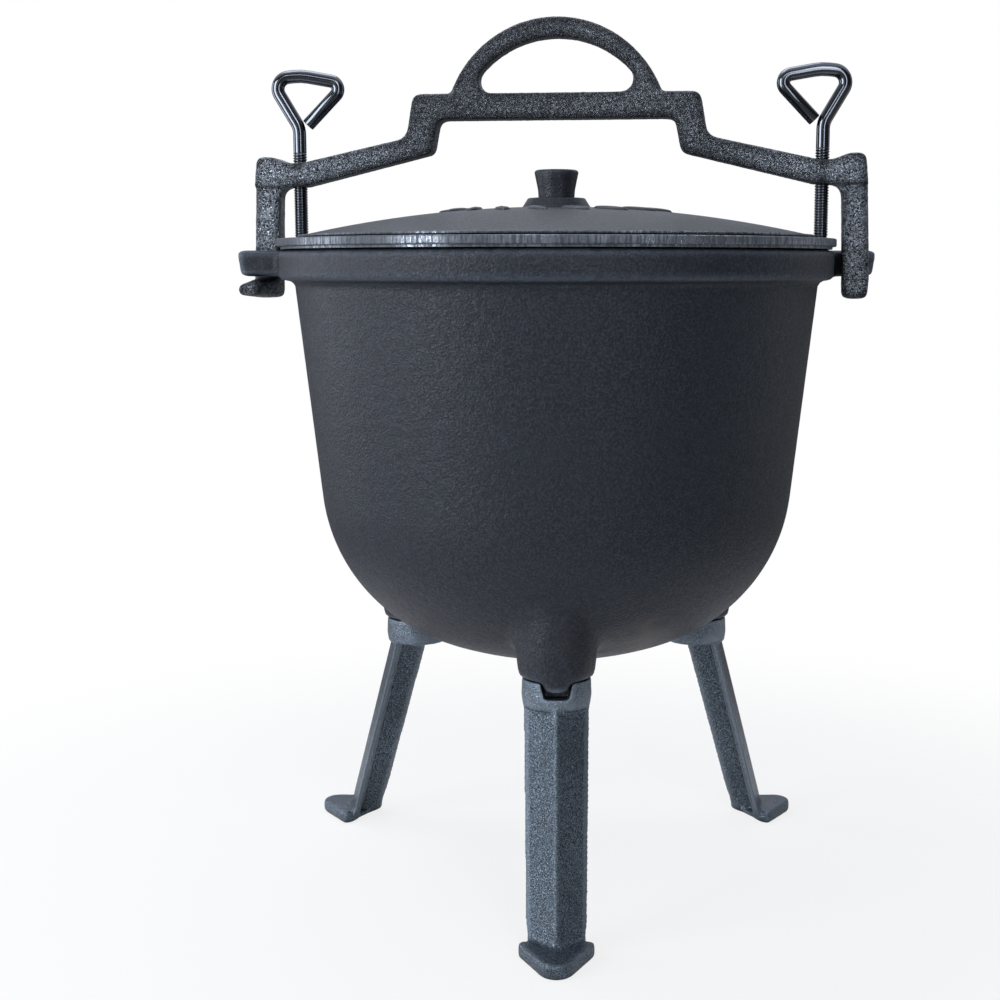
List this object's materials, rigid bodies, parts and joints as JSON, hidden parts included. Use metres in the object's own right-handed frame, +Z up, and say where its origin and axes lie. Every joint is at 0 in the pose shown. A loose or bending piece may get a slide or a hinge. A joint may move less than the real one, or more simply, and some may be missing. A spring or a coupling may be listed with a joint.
{
  "type": "cast iron cauldron with clamped lid",
  "caption": "Round-bottomed cast iron cauldron on bolted legs, with a domed lid held down by a turning arched yoke and clamp screws.",
  "frame": {"origin": "centre of the floor area under the pot, on the pot's axis, where the three feet stand at z = 0", "axes": "+Z up along the pot's axis, X along the line of the two lugs, -Y towards the front leg"},
  "size_m": [0.3584, 0.328, 0.4847],
  "materials": {
    "pot_iron": "seasoned matte black, fine cast grain",
    "lid_iron": "seasoned black with a soft sheen",
    "rough_iron": "rough sand-cast black paint",
    "black_steel": "blackened steel, oiled",
    "plain_steel": "zinc-plated steel"
  },
  "bodies": {
    "pot": {"pot": "pot_iron", "front_leg": "rough_iron", "rear_left_leg": "rough_iron", "rear_right_leg": "rough_iron", "front_leg_bolt": "plain_steel", "rear_left_leg_bolt": "plain_steel", "rear_right_leg_bolt": "plain_steel", "front_leg_washer": "plain_steel", "rear_left_leg_washer": "plain_steel", "rear_right_leg_washer": "plain_steel"},
    "yoke": {"yoke": "rough_iron"},
    "lid": {"lid": "lid_iron", "lid_knob": "lid_iron", "lid_knob_screw": "plain_steel", "lid_knob_washer": "plain_steel"},
    "left_clamp_screw": {"left_clamp_screw": "black_steel"},
    "right_clamp_screw": {"right_clamp_screw": "black_steel"}
  },
  "joints": [
    {"name": "yoke_turn", "type": "hinge", "parent": "pot", "child": "yoke", "pos_m": [0, 0, 0.35], "axis": [0, 0, 1], "range_deg": [-160, 0]},
    {"name": "lid_lift", "type": "slide", "parent": "yoke", "child": "lid", "axis": [0, 0, 1], "range_m": [0, 0.024]},
    {"name": "left_screw_turn", "type": "hinge", "parent": "lid", "child": "left_clamp_screw", "pos_m": [-0.14631, 0.01704, 0.4], "axis": [0, 0, 1], "range_deg": [0, 5760]},
    {"name": "right_screw_turn", "type": "hinge", "parent": "lid", "child": "right_clamp_screw", "pos_m": [0.14631, -0.01704, 0.4], "axis": [0, 0, 1], "range_deg": [0, 5760]}
  ],
  "couplings": [
    {"joint": "left_screw_turn", "follows": "lid_lift", "rad_per_m": 4188.8},
    {"joint": "right_screw_turn", "follows": "lid_lift", "rad_per_m": 4188.8}
  ]
}
